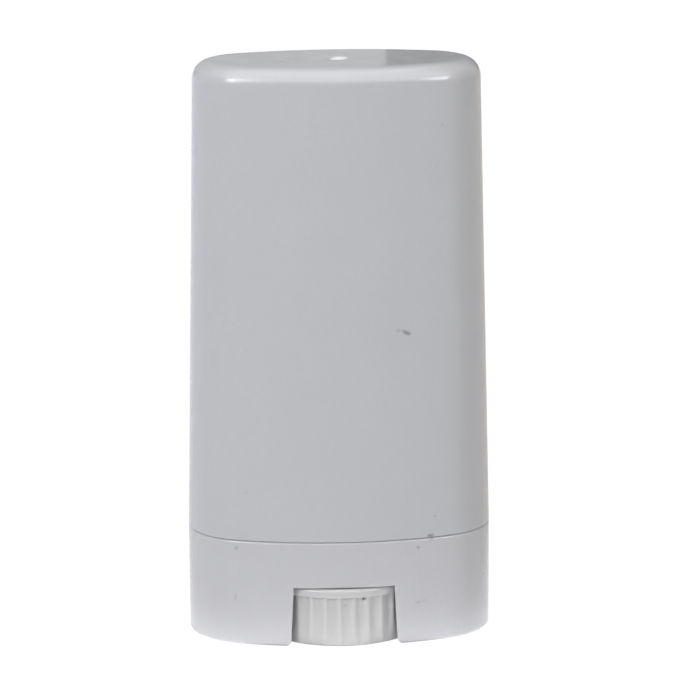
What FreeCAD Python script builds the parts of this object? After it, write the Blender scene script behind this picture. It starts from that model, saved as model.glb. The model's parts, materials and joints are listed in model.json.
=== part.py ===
"""Twist-up stick container with an oval section, in millimetres.

Four moulded pieces: a cap, a barrel whose base carries the mechanism, a dial
moulded in one with its screw, and an elevator that the screw drives up the
barrel.

+Z is up and -Y is the front. The origin is the centre of the face that the
container stands on. The dial turns about Z, and the cap and the elevator
slide along it. Every outline is the same four-arc oval, moved inwards by an
inset, so that walls and clearances stay even all the way round.
"""

import FreeCAD, Part

import math
import os

import Sketcher

# The driving sizes: name, value, what it is. Lengths are in mm, angles in degrees.
SIZES = [
    ("width", 35.0, "outside width of the base"),
    ("depth", 19.0, "outside depth of the base"),
    ("face_bulge", 1.5, "how much further the oval's faces stand out than its ends' radius"),
    ("overall_height", 66.7, "height with the cap on"),
    ("base_height", 12.4, "height of the shoulder that the cap stands on"),
    ("base_wall", 1.2, "wall of the base's skirt"),
    ("shoulder_thickness", 1.2, "thickness of the shoulder"),
    ("foot_radius", 0.3, "rounding of the base's lower edge"),
    ("seam_radius", 0.22, "rounding of the two edges that meet at the seam"),
    ("parting_gap", 0.12, "gap between the cap and the shoulder"),
    ("cap_wall", 1.1, "wall of the cap"),
    ("cap_roof", 1.2, "thickness of the cap's top"),
    ("cap_edge_radius", 2.1, "rounding round the cap's top"),
    ("cap_corner_radius", 0.6, "rounding inside the cap, under its top"),
    ("cap_clearance", 0.2, "gap between the cap and the neck"),
    ("draft_angle", 1.25, "draft of the cap and the neck, per side"),
    ("gate_radius", 1.3, "radius of the gate dimple in the cap's top"),
    ("gate_depth", 0.35, "depth of the gate dimple"),
    ("lead_in", 0.3, "chamfer inside the cap's mouth"),
    ("rim_wall", 0.86, "wall of the barrel at its rim"),
    ("headroom", 5.5, "height inside the cap above the barrel's rim"),
    ("rim_chamfer", 0.25, "chamfer of the barrel's rim, inside and out"),
    ("bead_height", 2.6, "height of the snap bead above the shoulder"),
    ("bead_width", 0.9, "width of the snap bead, up the neck"),
    ("bead_chamfer", 0.1, "chamfer of the snap bead's two edges"),
    ("bead_gap", 0.08, "gap between the snap bead and the cap"),
    ("floor_height", 7.0, "height of the underside of the barrel's floor"),
    ("floor_thickness", 1.2, "thickness of the barrel's floor"),
    ("lower_wall", 1.0, "wall of the barrel below the shoulder"),
    ("rib_foot", 2.4, "height of the lower edge of the ribs inside the base"),
    ("rib_thickness", 0.8, "thickness of the ribs inside the base"),
    ("rib_spacing", 6.0, "distance between the two ribs at each end"),
    ("window_width", 11.6, "width of the dial's window, at its top"),
    ("window_flare", 0.3, "how far each side of the window leans out"),
    ("window_radius", 0.8, "rounding of the window's lower corners"),
    ("dial_reach", 0.3, "how far the dial stands out of its windows"),
    ("dial_clearance", 0.35, "gap round the dial inside the base"),
    ("dial_foot_gap", 0.1, "height of the dial above the table"),
    ("dial_head_gap", 0.22, "gap between the dial and the floor"),
    ("dial_wall", 1.8, "wall of the dial's rim"),
    ("dial_web", 1.2, "thickness of the dial's disc"),
    ("dial_chamfer", 0.15, "chamfer of the dial's outer edges"),
    ("collar_height", 0.9, "height of the plain collar above the flutes"),
    ("flute_count", 36, "number of grip flutes"),
    ("flute_depth", 0.38, "depth of a grip flute"),
    ("flute_radius", 0.85, "radius of a grip flute"),
    ("spoke_count", 6, "number of spokes under the dial"),
    ("spoke_thickness", 0.8, "thickness of a spoke"),
    ("spoke_rise", 0.9, "height of the spokes and the hub above the dial's foot"),
    ("hub_radius", 3.6, "radius of the hub under the dial"),
    ("hub_bore", 1.9, "radius of the blind hole in the hub"),
    ("thrust_radius", 4.6, "radius of the thrust face on the dial"),
    ("end_float", 0.15, "how far the screw can move endways, each way"),
    ("journal_radius", 2.8, "radius of the screw's journal"),
    ("journal_clearance", 0.08, "gap round the journal"),
    ("barb_overhang", 0.35, "how far the snap barb stands out"),
    ("barb_land", 0.35, "height of the barb's edge"),
    ("barb_taper", 0.9, "height of the barb's lead-in"),
    ("core_radius", 1.8, "radius of the screw's core"),
    ("tip_drop", 1.5, "how far the screw's tip is below the barrel's rim"),
    ("tip_chamfer", 0.6, "chamfer of the screw's tip"),
    ("thread_rise", 0.7, "height of the thread above the core"),
    ("thread_root", 1.6, "width of the thread at the core"),
    ("thread_crest", 0.8, "width of the thread at its crest"),
    ("thread_lead", 4.0, "lift for each turn of the dial"),
    ("thread_gap", 1.2, "plain length between the barb and the thread's start"),
    ("thread_sink", 0.2, "how far the thread's section goes into the core"),
    ("thread_runout", 1.5, "plain length between the thread and the tip"),
    ("thread_clearance", 0.2, "gap all round the thread in its nut"),
    ("elevator_clearance", 0.2, "gap between the elevator and the barrel"),
    ("elevator_rest", 0.3, "gap under the elevator at its lowest"),
    ("elevator_height", 4.7, "height of the elevator's skirt and plate"),
    ("elevator_wall", 0.9, "wall of the elevator's skirt"),
    ("plate_thickness", 1.2, "thickness of the elevator's plate"),
    ("sleeve_radius", 4.1, "outside radius of the nut sleeve"),
    ("sleeve_gap", 0.3, "gap between the barb and the sleeve at its lowest"),
    ("sleeve_rise", 2.4, "how far the sleeve stands above the plate"),
    ("key_radius", 1.0, "radius of the holes that key the stick"),
    ("key_inset", 7.7, "distance of the holes from the oval's ends, in X"),
    ("key_spacing", 4.0, "distance between a pair of holes"),
    ("fin_height", 4.0, "height of the two anchor fins"),
    ("fin_length", 5.0, "length of an anchor fin"),
    ("fin_thickness", 0.9, "thickness of an anchor fin"),
    ("fin_gap", 2.25, "gap between the sleeve and an anchor fin"),
]

# Expressions that several features share.
END_RADIUS = "(Sizes.depth / 2 - Sizes.face_bulge)"
END_CENTRE = f"(Sizes.width / 2 - {END_RADIUS})"
FACE_RADIUS = (
    f"(({END_CENTRE}^2 + (Sizes.depth / 2)^2 - {END_RADIUS}^2) / (2 * Sizes.face_bulge))"
)
DRAFT = "tan(Sizes.draft_angle * 1 deg)"
CAP_FOOT = "(Sizes.base_height + Sizes.parting_gap)"
CAP_CEILING = "(Sizes.overall_height - Sizes.cap_roof)"
BARREL_TOP = f"({CAP_CEILING} - Sizes.headroom)"
NECK_INSET = "(Sizes.cap_wall + Sizes.cap_clearance)"
WELL_INSET = f"({NECK_INSET} + ({BARREL_TOP} - Sizes.base_height) * {DRAFT} + Sizes.rim_wall)"
FLOOR_TOP = "(Sizes.floor_height + Sizes.floor_thickness)"
DIAL_RADIUS = "(Sizes.depth / 2 + Sizes.dial_reach)"
DIAL_INSIDE = f"({DIAL_RADIUS} - Sizes.dial_wall)"
DIAL_TOP = "(Sizes.floor_height - Sizes.dial_head_gap)"
COLLAR_FOOT = f"({DIAL_TOP} - Sizes.collar_height)"
BARB_FOOT = f"({FLOOR_TOP} + Sizes.end_float)"
BARB_TOP = f"({BARB_FOOT} + Sizes.barb_land + Sizes.barb_taper)"
SCREW_TOP = f"({BARREL_TOP} - Sizes.tip_drop)"
THREAD_START = f"({BARB_TOP} + Sizes.thread_gap)"
ELEVATOR_INSET = f"({WELL_INSET} + Sizes.elevator_clearance)"
ELEVATOR_FOOT = f"({FLOOR_TOP} + Sizes.elevator_rest)"
PLATE_TOP = f"({ELEVATOR_FOOT} + Sizes.elevator_height)"
PLATE_FOOT = f"({PLATE_TOP} - Sizes.plate_thickness)"
SLEEVE_FOOT = f"({BARB_TOP} + Sizes.sleeve_gap)"
SLEEVE_TOP = f"({PLATE_TOP} + Sizes.sleeve_rise)"

# The numbers that a constraint takes for a point of a line or an arc, and for the
# sketch's own axes and origin.
START, END, CENTRE = range(1, 4)
SKETCH_X, SKETCH_Y = range(-1, -3, -1)
ORIGIN = (SKETCH_X, START)

doc = FreeCAD.newDocument("StickContainer")


def make_sheet():
    """The spreadsheet that holds the driving sizes, one row each."""
    sheet = doc.addObject("Spreadsheet::Sheet", "Sizes")
    for row, (name, number, note) in enumerate(SIZES, start=1):
        sheet.set(f"A{row}", name)
        sheet.set(f"B{row}", str(number))
        sheet.set(f"C{row}", note)
        sheet.setAlias(f"B{row}", name)
    doc.recompute()
    return sheet


sizes = make_sheet()


def value(expression):
    """What an expression in the driving sizes comes to, as a plain number."""
    found = sizes.evalExpression(str(expression).replace("Sizes.", ""))
    return float(getattr(found, "Value", found))


# --- Bodies, sketches and features -------------------------------------------


def new_body(name):
    """An empty body whose label names its file."""
    body = doc.addObject("PartDesign::Body", name)
    body.Label = name
    return body


def new_sketch(body, name, plane, offset="0"):
    """A sketch on one of the body's own origin planes, moved along its normal."""
    sketch = body.newObject("Sketcher::SketchObject", f"{body.Name}_{name}")
    datum = next(f for f in body.Origin.OriginFeatures if f.Role == plane)
    sketch.AttachmentSupport = [(datum, "")]
    sketch.MapMode = "FlatFace"
    sketch.setExpression("AttachmentOffset.Base.z", offset)
    return sketch


def bind(sketch, constraint, expression):
    """Adds a dimension to the sketch and ties it to the driving sizes."""
    index = sketch.addConstraint(constraint)
    sketch.renameConstraint(index, f"size_{index}")
    sketch.setExpression(f"Constraints.size_{index}", expression)


def add_oval(sketch, inset):
    """The four-arc oval in a sketch, moved inwards by an inset."""
    centre = value(END_CENTRE)
    face_centre = value(FACE_RADIUS) - value("Sizes.depth / 2")
    end = value(END_RADIUS) - value(inset)
    face = value(FACE_RADIUS) - value(inset)
    turn = math.atan2(face_centre, centre)
    up = FreeCAD.Vector(0, 0, 1)

    def arc(x, y, radius, first, last):
        circle = Part.Circle(FreeCAD.Vector(x, y, 0), up, radius)
        return sketch.addGeometry(Part.ArcOfCircle(circle, first, last), False)

    right = arc(centre, 0, end, -turn, turn)
    back = arc(0, -face_centre, face, turn, math.pi - turn)
    left = arc(-centre, 0, end, math.pi - turn, math.pi + turn)
    front = arc(0, face_centre, face, math.pi + turn, 2 * math.pi - turn)
    ring = [right, back, left, front]
    for here, after in zip(ring, ring[1:] + ring[:1]):
        sketch.addConstraint(Sketcher.Constraint("Tangent", here, END, after, START))
    sketch.addConstraint(Sketcher.Constraint("PointOnObject", right, CENTRE, SKETCH_X))
    sketch.addConstraint(Sketcher.Constraint("Symmetric", right, CENTRE, left, CENTRE, *ORIGIN))
    sketch.addConstraint(Sketcher.Constraint("Equal", right, left))
    sketch.addConstraint(Sketcher.Constraint("Equal", back, front))
    bind(sketch, Sketcher.Constraint("DistanceX", *ORIGIN, right, CENTRE, centre), END_CENTRE)
    bind(sketch, Sketcher.Constraint("Radius", right, end), f"{END_RADIUS} - {inset}")
    bind(sketch, Sketcher.Constraint("Radius", back, face), f"{FACE_RADIUS} - {inset}")


def oval_sketch(body, name, height, *insets):
    """A level sketch of one oval, or of a ring between two."""
    sketch = new_sketch(body, name, "XY_Plane", height)
    for inset in insets:
        add_oval(sketch, inset)
    return sketch


def add_circle(sketch, x, y, radius):
    """A circle whose centre and radius follow the driving sizes."""
    centre = FreeCAD.Vector(value(x), value(y), 0)
    circle = sketch.addGeometry(Part.Circle(centre, FreeCAD.Vector(0, 0, 1), value(radius)))
    bind(sketch, Sketcher.Constraint("Radius", circle, value(radius)), radius)
    place_point(sketch, circle, CENTRE, x, y)


def place_point(sketch, item, point, x, y):
    """Fixes a point of the sketch at a place that follows the driving sizes."""
    for kind, where, axis in (("DistanceX", x, SKETCH_Y), ("DistanceY", y, SKETCH_X)):
        if where == "0":
            sketch.addConstraint(Sketcher.Constraint("PointOnObject", item, point, axis))
        else:
            bind(sketch, Sketcher.Constraint(kind, *ORIGIN, item, point, value(where)), where)


def add_outline(sketch, corners, arcs=None):
    """A closed outline through corners given as expressions.

    Its sides are straight, apart from those named in arcs by their first corner,
    which bulge to the right of the way round with the radius given there.
    """
    arcs = arcs or {}
    spots = [FreeCAD.Vector(value(x), value(y), 0) for x, y in corners]
    sides = []
    for i, (here, after) in enumerate(zip(spots, spots[1:] + spots[:1])):
        if i in arcs:
            side = Part.Arc(here, arc_middle(here, after, value(arcs[i])), after)
        else:
            side = Part.LineSegment(here, after)
        sides.append(sketch.addGeometry(side))
    for here, after in zip(sides, sides[1:] + sides[:1]):
        sketch.addConstraint(Sketcher.Constraint("Coincident", here, END, after, START))
    for side, (x, y) in zip(sides, corners):
        place_point(sketch, side, START, x, y)
    for i, radius in arcs.items():
        bind(sketch, Sketcher.Constraint("Radius", sides[i], value(radius)), radius)


def arc_middle(here, after, radius):
    """The middle of the arc between two points that bulges to the right of the way."""
    chord = after - here
    rise = radius - math.sqrt(radius**2 - chord.Length**2 / 4)
    right = FreeCAD.Vector(chord.y, -chord.x, 0) / chord.Length
    return (here + after) / 2 + right * rise


def extrude(body, kind, sketch, length, symmetric=False):
    """A Pad or a Pocket that goes up from a sketch, or both ways from it."""
    before = body.Shape.Volume if body.Tip else 0.0
    feature = body.newObject(f"PartDesign::{kind}", f"{sketch.Name}_{kind}")
    feature.Profile = sketch
    feature.Type = "Length"
    feature.setExpression("Length", length)
    if symmetric:
        feature.SideType = "Symmetric"
    else:
        feature.Reversed = kind == "Pocket"
    return settle(body, feature, before)


def draft_walls(body, foot, head, inner=False):
    """Leans the upright walls between two heights inwards, from where they start."""
    base = body.Tip
    before = body.Shape.Volume
    low, high = value(foot), value(head)
    walls = [
        f"Face{i}"
        for i, face in enumerate(base.Shape.Faces, start=1)
        if spans(face, low, high)
    ]
    feature = body.newObject("PartDesign::Draft", f"{base.Name}_Draft")
    feature.Base = (base, walls)
    feature.NeutralPlane = (base, [level_face(base.Shape, low)])
    feature.Reversed = inner
    feature.setExpression("Angle", "Sizes.draft_angle")
    return settle(body, feature, before)


def spans(face, low, high, tolerance=0.001):
    """Whether a face reaches exactly from one height to another."""
    box = face.BoundBox
    return abs(box.ZMin - low) < tolerance and abs(box.ZMax - high) < tolerance


def level_face(shape, height):
    """The name of the widest level face at a height."""
    level = {
        f"Face{i}": face.BoundBox.DiagonalLength
        for i, face in enumerate(shape.Faces, start=1)
        if spans(face, height, height)
    }
    return max(level, key=level.get)


def revolve(body, kind, sketch):
    """A full turn of a sketch about its own upright axis, added or cut."""
    before = body.Shape.Volume if body.Tip else 0.0
    feature = body.newObject(f"PartDesign::{kind}", f"{sketch.Name}_{kind}")
    feature.Profile = sketch
    feature.ReferenceAxis = (sketch, ["V_Axis"])
    feature.Angle = 360.0
    return settle(body, feature, before)


def helix(body, kind, sketch, height):
    """A right-handed thread of the screw's lead, added or cut."""
    before = body.Shape.Volume
    feature = body.newObject(f"PartDesign::{kind}", f"{sketch.Name}_{kind}")
    feature.Profile = sketch
    feature.ReferenceAxis = (sketch, ["V_Axis"])
    feature.Mode = "pitch-height-angle"
    feature.setExpression("Pitch", "Sizes.thread_lead")
    feature.setExpression("Height", height)
    feature.LeftHanded = False
    feature.Reversed = False
    return settle(body, feature, before)


def settle(body, feature, before):
    """Recomputes and stops if the feature failed or left the volume as it was."""
    doc.recompute()
    if not feature.isValid() or feature.Shape.isNull():
        raise RuntimeError(f"{feature.Name} failed: {feature.State}")
    if abs(body.Shape.Volume - before) < 1e-6:
        raise RuntimeError(f"{feature.Name} changed nothing")
    return feature


def around(body, feature, count):
    """Repeats a feature evenly round the upright axis."""
    before = body.Shape.Volume
    pattern = body.newObject("PartDesign::PolarPattern", f"{feature.Name}_round")
    pattern.Originals = [feature]
    axis = next(f for f in body.Origin.OriginFeatures if f.Role == "Z_Axis")
    pattern.Axis = (axis, [""])
    pattern.Angle = 360.0
    pattern.setExpression("Occurrences", count)
    body.Tip = pattern
    return settle(body, pattern, before)


def rim(body, height, outer=True):
    """Names of the edges round the outside, or the inside, of the level face at a height."""
    shape = body.Tip.Shape
    face = shape.getElement(level_face(shape, value(height)))
    wires = [w for w in face.Wires if w.isSame(face.OuterWire) == outer]
    wanted = [edge for wire in wires for edge in wire.Edges]
    return [
        f"Edge{i}"
        for i, edge in enumerate(shape.Edges, start=1)
        if any(edge.isSame(other) for other in wanted)
    ]


def ease(body, kind, names, amount):
    """A fillet or a chamfer on edges of the body's last feature."""
    base = body.Tip
    before = body.Shape.Volume
    feature = body.newObject(f"PartDesign::{kind}", f"{base.Name}_{kind}")
    feature.Base = (base, names)
    feature.setExpression("Radius" if kind == "Fillet" else "Size", amount)
    return settle(body, feature, before)


# --- The four pieces ----------------------------------------------------------


def make_cap():
    """The cap: a drafted shell with a rounded top and a gate dimple."""
    body = new_body("cap")
    outside = oval_sketch(body, "outside", CAP_FOOT, "0")
    extrude(body, "Pad", outside, f"Sizes.overall_height - {CAP_FOOT}")
    inside = oval_sketch(body, "inside", CAP_FOOT, "Sizes.cap_wall")
    extrude(body, "Pocket", inside, f"{CAP_CEILING} - {CAP_FOOT}")
    draft_walls(body, CAP_FOOT, CAP_CEILING, inner=True)
    draft_walls(body, CAP_FOOT, "Sizes.overall_height")
    ease(body, "Fillet", rim(body, "Sizes.overall_height"), "Sizes.cap_edge_radius")
    ease(body, "Fillet", rim(body, CAP_CEILING), "Sizes.cap_corner_radius")
    ease(body, "Fillet", rim(body, CAP_FOOT), "Sizes.seam_radius")
    ease(body, "Chamfer", rim(body, CAP_FOOT, outer=False), "Sizes.lead_in")
    gate = new_sketch(body, "gate", "XZ_Plane")
    bowl_radius = "(Sizes.gate_radius^2 + Sizes.gate_depth^2) / (2 * Sizes.gate_depth)"
    bottom = ("0", "(Sizes.overall_height - Sizes.gate_depth)")
    edge = ("Sizes.gate_radius", "Sizes.overall_height")
    add_outline(gate, [("0", "Sizes.overall_height"), bottom, edge], {1: bowl_radius})
    revolve(body, "Groove", gate)
    return body


def make_barrel():
    """The barrel: the base's skirt, the neck inside the cap and the floor between them."""
    body = new_body("barrel")
    base = oval_sketch(body, "base", "0", "0")
    extrude(body, "Pad", base, "Sizes.base_height")
    ease(body, "Fillet", rim(body, "Sizes.base_height"), "Sizes.seam_radius")
    ease(body, "Fillet", rim(body, "0"), "Sizes.foot_radius")
    neck = oval_sketch(body, "neck", "Sizes.base_height", NECK_INSET)
    extrude(body, "Pad", neck, f"{BARREL_TOP} - Sizes.base_height")
    draft_walls(body, "Sizes.base_height", BARREL_TOP)
    ease(body, "Chamfer", rim(body, BARREL_TOP), "Sizes.rim_chamfer")
    add_bead(body)
    well = oval_sketch(body, "well", FLOOR_TOP, WELL_INSET)
    extrude(body, "Pocket", well, f"{BARREL_TOP} - {FLOOR_TOP}")
    ease(body, "Chamfer", rim(body, BARREL_TOP, outer=False), "Sizes.rim_chamfer")
    hollow = oval_sketch(body, "hollow", "0", "Sizes.base_wall")
    extrude(body, "Pocket", hollow, "Sizes.floor_height")
    lower_inset = f"({WELL_INSET} - Sizes.lower_wall)"
    groove = oval_sketch(body, "groove", "Sizes.floor_height", "Sizes.base_wall", lower_inset)
    groove_top = "Sizes.base_height - Sizes.shoulder_thickness"
    extrude(body, "Pocket", groove, f"{groove_top} - Sizes.floor_height")
    add_base_ribs(body)
    relief = new_sketch(body, "dial_relief", "XY_Plane")
    add_circle(relief, "0", "0", f"{DIAL_RADIUS} + Sizes.dial_clearance")
    extrude(body, "Pocket", relief, "Sizes.floor_height")
    bore = new_sketch(body, "bore", "XY_Plane", "Sizes.floor_height")
    add_circle(bore, "0", "0", "Sizes.journal_radius + Sizes.journal_clearance")
    extrude(body, "Pocket", bore, "Sizes.floor_thickness")
    cut_windows(body)
    return body


def add_bead(body):
    """The snap bead round the neck that holds the cap."""
    foot = "(Sizes.base_height + Sizes.bead_height)"
    inset = f"(Sizes.cap_wall + Sizes.bead_gap + Sizes.bead_height * {DRAFT})"
    bead = oval_sketch(body, "bead", foot, inset)
    extrude(body, "Pad", bead, "Sizes.bead_width")
    ease(body, "Chamfer", rim(body, foot), "Sizes.bead_chamfer")
    ease(body, "Chamfer", rim(body, f"{foot} + Sizes.bead_width"), "Sizes.bead_chamfer")


def add_base_ribs(body):
    """Two ribs at each end of the base, from the skirt's wall in to the dial."""
    ribs = new_sketch(body, "ribs", "XY_Plane", "Sizes.rib_foot")
    wall_middle = f"({END_RADIUS} - Sizes.base_wall / 2)"
    reach = f"({END_CENTRE} + sqrt({wall_middle}^2 - (Sizes.rib_spacing / 2)^2))"
    half = "Sizes.rib_thickness / 2"
    middle = "Sizes.rib_spacing / 2"
    for side in ("", "-"):
        for end in ("", "-"):
            add_outline(
                ribs,
                [
                    (f"{end}{DIAL_RADIUS}", f"{side}({middle} - {half})"),
                    (f"{end}{reach}", f"{side}({middle} - {half})"),
                    (f"{end}{reach}", f"{side}({middle} + {half})"),
                    (f"{end}{DIAL_RADIUS}", f"{side}({middle} + {half})"),
                ],
            )
    extrude(body, "Pad", ribs, "Sizes.floor_height - Sizes.rib_foot")


def cut_windows(body):
    """The window in the front wall and in the back one, where the dial is turned."""
    window = new_sketch(body, "window", "XZ_Plane")
    top, foot = "Sizes.window_width / 2", "(Sizes.window_width / 2 + Sizes.window_flare)"
    corner = "Sizes.window_radius"
    head = "Sizes.floor_height"
    outline = [
        (f"-{top}", head),
        (top, head),
        (foot, corner),
        (f"({foot} + {corner})", "0"),
        (f"-({foot} + {corner})", "0"),
        (f"-{foot}", corner),
    ]
    add_outline(window, outline, {2: corner, 4: corner})
    extrude(body, "Pocket", window, "2 * Sizes.depth", symmetric=True)


def make_dial_screw():
    """The dial and its screw, in one piece: a fluted wheel, a journal and a thread."""
    body = new_body("dial_screw")
    profile = new_sketch(body, "profile", "XZ_Plane")
    web_foot = f"({DIAL_TOP} - Sizes.dial_web)"
    hub_foot = "(Sizes.dial_foot_gap + Sizes.spoke_rise)"
    thrust_face = "(Sizes.floor_height - Sizes.end_float)"
    barb = "(Sizes.journal_radius + Sizes.barb_overhang)"
    add_outline(
        profile,
        [
            ("0", web_foot),
            ("Sizes.hub_bore", web_foot),
            ("Sizes.hub_bore", hub_foot),
            ("Sizes.hub_radius", hub_foot),
            ("Sizes.hub_radius", web_foot),
            (DIAL_INSIDE, web_foot),
            (DIAL_INSIDE, "Sizes.dial_foot_gap"),
            (DIAL_RADIUS, "Sizes.dial_foot_gap"),
            (DIAL_RADIUS, DIAL_TOP),
            ("Sizes.thrust_radius", DIAL_TOP),
            ("Sizes.thrust_radius", thrust_face),
            ("Sizes.journal_radius", thrust_face),
            ("Sizes.journal_radius", BARB_FOOT),
            (barb, BARB_FOOT),
            (barb, f"({BARB_FOOT} + Sizes.barb_land)"),
            ("Sizes.core_radius", BARB_TOP),
            ("Sizes.core_radius", f"({SCREW_TOP} - Sizes.tip_chamfer)"),
            ("(Sizes.core_radius - Sizes.tip_chamfer)", SCREW_TOP),
            ("0", SCREW_TOP),
        ],
    )
    revolve(body, "Revolution", profile)
    ease(body, "Chamfer", rim(body, DIAL_TOP), "Sizes.dial_chamfer")
    ease(body, "Chamfer", rim(body, "Sizes.dial_foot_gap"), "Sizes.dial_chamfer")
    spoke = new_sketch(body, "spoke", "XY_Plane", hub_foot)
    rim_middle = f"({DIAL_RADIUS} - Sizes.dial_wall / 2)"
    hub_middle = "((Sizes.hub_radius + Sizes.hub_bore) / 2)"
    half = "Sizes.spoke_thickness / 2"
    spoke_outline = [
        (hub_middle, f"-{half}"),
        (rim_middle, f"-{half}"),
        (rim_middle, half),
        (hub_middle, half),
    ]
    add_outline(spoke, spoke_outline)
    around(body, extrude(body, "Pad", spoke, f"{web_foot} - {hub_foot}"), "Sizes.spoke_count")
    flute = new_sketch(body, "flute", "XY_Plane")
    flute_centre = f"({DIAL_RADIUS} - Sizes.flute_depth + Sizes.flute_radius)"
    add_circle(flute, flute_centre, "0", "Sizes.flute_radius")
    around(body, extrude(body, "Pocket", flute, COLLAR_FOOT), "Sizes.flute_count")
    thread = new_sketch(body, "thread", "XZ_Plane")
    add_thread_section(thread, THREAD_START, "0")
    helix(body, "AdditiveHelix", thread, f"{SCREW_TOP} - Sizes.thread_runout - {THREAD_START}")
    return body


def make_elevator():
    """The elevator: an oval plate with a skirt, and a nut sleeve that rides the screw."""
    body = new_body("elevator")
    outline = oval_sketch(body, "outline", ELEVATOR_FOOT, ELEVATOR_INSET)
    extrude(body, "Pad", outline, "Sizes.elevator_height")
    inside = f"({ELEVATOR_INSET} + Sizes.elevator_wall)"
    underside = oval_sketch(body, "underside", ELEVATOR_FOOT, inside)
    extrude(body, "Pocket", underside, f"{PLATE_FOOT} - {ELEVATOR_FOOT}")
    sleeve = new_sketch(body, "sleeve", "XY_Plane", SLEEVE_FOOT)
    add_circle(sleeve, "0", "0", "Sizes.sleeve_radius")
    extrude(body, "Pad", sleeve, f"{SLEEVE_TOP} - {SLEEVE_FOOT}")
    bore = new_sketch(body, "bore", "XY_Plane", SLEEVE_FOOT)
    add_circle(bore, "0", "0", "Sizes.core_radius + Sizes.thread_clearance")
    extrude(body, "Pocket", bore, f"{SLEEVE_TOP} - {SLEEVE_FOOT}")
    keys = new_sketch(body, "keys", "XY_Plane", PLATE_FOOT)
    fins = new_sketch(body, "fins", "XY_Plane", PLATE_TOP)
    key_x = "(Sizes.width / 2 - Sizes.key_inset)"
    near = "(Sizes.sleeve_radius + Sizes.fin_gap)"
    far = f"({near} + Sizes.fin_thickness)"
    back, front = "Sizes.fin_length / 2", "-Sizes.fin_length / 2"
    for end in ("", "-"):
        for side in ("", "-"):
            add_circle(keys, f"{end}{key_x}", f"{side}Sizes.key_spacing / 2", "Sizes.key_radius")
        corners = [(near, front), (far, front), (far, back), (near, back)]
        add_outline(fins, [(f"{end}{x}", y) for x, y in corners])
    extrude(body, "Pocket", keys, "Sizes.plate_thickness")
    extrude(body, "Pad", fins, "Sizes.fin_height")
    cut_nut_thread(body)
    return body


def cut_nut_thread(body):
    """The thread in the nut sleeve: the screw's own, whole turns lower, with clearance."""
    groove = new_sketch(body, "thread", "XZ_Plane")
    turns = f"ceil(({THREAD_START} - {SLEEVE_FOOT}) / Sizes.thread_lead + 0.5)"
    start = f"({THREAD_START} - Sizes.thread_lead * {turns})"
    add_thread_section(groove, start, "Sizes.thread_clearance")
    helix(body, "SubtractiveHelix", groove, f"{SLEEVE_TOP} + Sizes.thread_lead - {start}")


def add_thread_section(sketch, height, spread):
    """The thread's section at a height, grown on every side by a spread."""
    inside = "(Sizes.core_radius - Sizes.thread_sink)"
    root = f"(Sizes.core_radius + {spread})"
    crest = f"(Sizes.core_radius + Sizes.thread_rise + {spread})"
    root_half = f"(Sizes.thread_root / 2 + {spread})"
    crest_half = f"(Sizes.thread_crest / 2 + {spread})"
    add_outline(
        sketch,
        [
            (inside, f"({height} - {root_half})"),
            (root, f"({height} - {root_half})"),
            (crest, f"({height} - {crest_half})"),
            (crest, f"({height} + {crest_half})"),
            (root, f"({height} + {root_half})"),
            (inside, f"({height} + {root_half})"),
        ],
    )


def write_parts(bodies):
    """Stops at anything that failed, then writes one file for each piece."""
    doc.recompute()
    failed = [o.Name for o in doc.Objects if "Invalid" in o.State or "Error" in o.State]
    if failed:
        raise RuntimeError(f"failed objects: {failed}")
    for body in bodies:
        shape = body.Shape
        if shape.isNull() or not shape.isValid() or len(shape.Solids) != 1:
            raise RuntimeError(f"{body.Label} is not one sound solid")
    os.makedirs("parts", exist_ok=True)
    for body in bodies:
        body.Shape.exportStep(f"parts/{body.Label}.step")
        box = body.Shape.BoundBox
        print(f"{body.Label}: {body.Shape.Volume:.1f} mm3, z {box.ZMin:.2f} to {box.ZMax:.2f}")


write_parts([make_cap(), make_barrel(), make_dial_screw(), make_elevator()])
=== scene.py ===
"""Dresses the oval twist-up stick container for a studio picture.

The cap, the barrel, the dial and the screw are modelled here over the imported
frame. The elevator keeps its own solid and gets a finish.
"""

import json
import math
from collections import Counter

import bpy
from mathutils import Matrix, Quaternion, Vector

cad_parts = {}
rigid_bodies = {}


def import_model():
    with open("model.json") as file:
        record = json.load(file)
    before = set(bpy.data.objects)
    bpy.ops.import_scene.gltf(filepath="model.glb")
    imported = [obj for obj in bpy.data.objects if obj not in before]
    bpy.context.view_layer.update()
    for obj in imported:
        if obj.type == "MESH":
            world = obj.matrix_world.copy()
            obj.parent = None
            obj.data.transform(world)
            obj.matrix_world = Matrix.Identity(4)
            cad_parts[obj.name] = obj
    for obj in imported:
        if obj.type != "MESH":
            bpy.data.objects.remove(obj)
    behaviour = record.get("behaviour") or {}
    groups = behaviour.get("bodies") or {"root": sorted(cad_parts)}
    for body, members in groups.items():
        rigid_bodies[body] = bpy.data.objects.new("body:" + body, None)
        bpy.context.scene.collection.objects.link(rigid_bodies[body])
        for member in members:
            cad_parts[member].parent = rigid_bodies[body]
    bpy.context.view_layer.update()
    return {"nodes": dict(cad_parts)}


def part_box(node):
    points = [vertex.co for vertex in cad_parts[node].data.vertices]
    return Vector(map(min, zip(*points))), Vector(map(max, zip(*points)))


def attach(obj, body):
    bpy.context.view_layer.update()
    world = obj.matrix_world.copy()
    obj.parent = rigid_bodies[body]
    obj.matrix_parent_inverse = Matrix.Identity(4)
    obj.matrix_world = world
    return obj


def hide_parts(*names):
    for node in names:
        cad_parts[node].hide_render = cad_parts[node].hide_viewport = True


bl_info = {
    "name": "Oval Stick Container",
    "version": (1, 0, 0),
    "blender": (4, 5, 0),
    "location": "View3D > Sidebar > Stick",
    "description": "Models an oval twist-up stick container and its studio",
    "category": "Add Mesh",
}

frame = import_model()
cap_low, cap_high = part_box("cap")
barrel_low, barrel_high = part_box("barrel")
dial_low, dial_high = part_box("dial_screw")

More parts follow.
